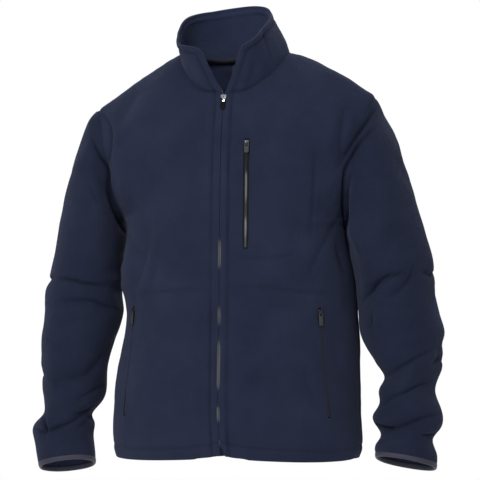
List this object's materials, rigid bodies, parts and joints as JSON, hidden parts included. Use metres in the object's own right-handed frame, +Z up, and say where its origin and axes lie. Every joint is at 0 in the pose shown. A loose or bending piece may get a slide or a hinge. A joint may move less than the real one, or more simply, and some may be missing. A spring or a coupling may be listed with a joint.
{
  "type": "fleece zip jacket",
  "caption": "Hollow worn-shape fleece jacket with a stand collar, full front zip, zipped chest and hand pockets and hinged pull tabs.",
  "frame": {"origin": "middle of the neck, level with the points where the shoulder seams meet the collar, where a wearer carries the jacket", "axes": "the jacket faces -Y, +X is its own left side, +Z is up"},
  "size_m": [0.7509, 0.2947, 0.8464],
  "materials": {
    "fleece": "matte navy fleece with a short brushed pile",
    "lining": "matte dark knit",
    "binding": "satin plum-grey stretch tape",
    "zip": "woven tape with grey coil teeth",
    "slider": "nickel plate",
    "pull": "black and gunmetal lacquer"
  },
  "bodies": {
    "jacket": {"back": "fleece", "collar": "fleece", "cuff_binding_left": "binding", "cuff_binding_right": "binding", "front_left": "fleece", "front_right": "fleece", "neck_patch": "lining", "pocket_bag_chest": "lining", "pocket_bag_left": "lining", "pocket_bag_right": "lining", "sleeve_left": "fleece", "sleeve_right": "fleece", "slider_chest": "slider", "slider_hand_left": "slider", "slider_hand_right": "slider", "slider_main": "slider", "zip_chest": "zip", "zip_hand_left": "zip", "zip_hand_right": "zip", "zip_left": "zip", "zip_right": "zip"},
    "pull_main_tab": {"pull_main": "pull"},
    "pull_chest_tab": {"pull_chest": "pull"},
    "pull_hand_left_tab": {"pull_hand_left": "pull"},
    "pull_hand_right_tab": {"pull_hand_right": "pull"}
  },
  "joints": [
    {"name": "pull_main_hinge", "type": "hinge", "parent": "jacket", "child": "pull_main_tab", "pos_m": [0, -0.12304, -0.08352], "axis": [-1, 0, 0], "range_deg": [0, 170]},
    {"name": "pull_chest_hinge", "type": "hinge", "parent": "jacket", "child": "pull_chest_tab", "pos_m": [0.04665, -0.14222, -0.16293], "axis": [-0.9951, -0.0979, 0.0166], "range_deg": [0, 170]},
    {"name": "pull_hand_left_hinge", "type": "hinge", "parent": "jacket", "child": "pull_hand_left_tab", "pos_m": [0.17327, -0.10711, -0.46311], "axis": [-0.744, -0.6679, -0.0194], "range_deg": [0, 170]},
    {"name": "pull_hand_right_hinge", "type": "hinge", "parent": "jacket", "child": "pull_hand_right_tab", "pos_m": [-0.17342, -0.09164, -0.46332], "axis": [-0.6262, 0.7755, 0.0808], "range_deg": [0, 170]}
  ]
}
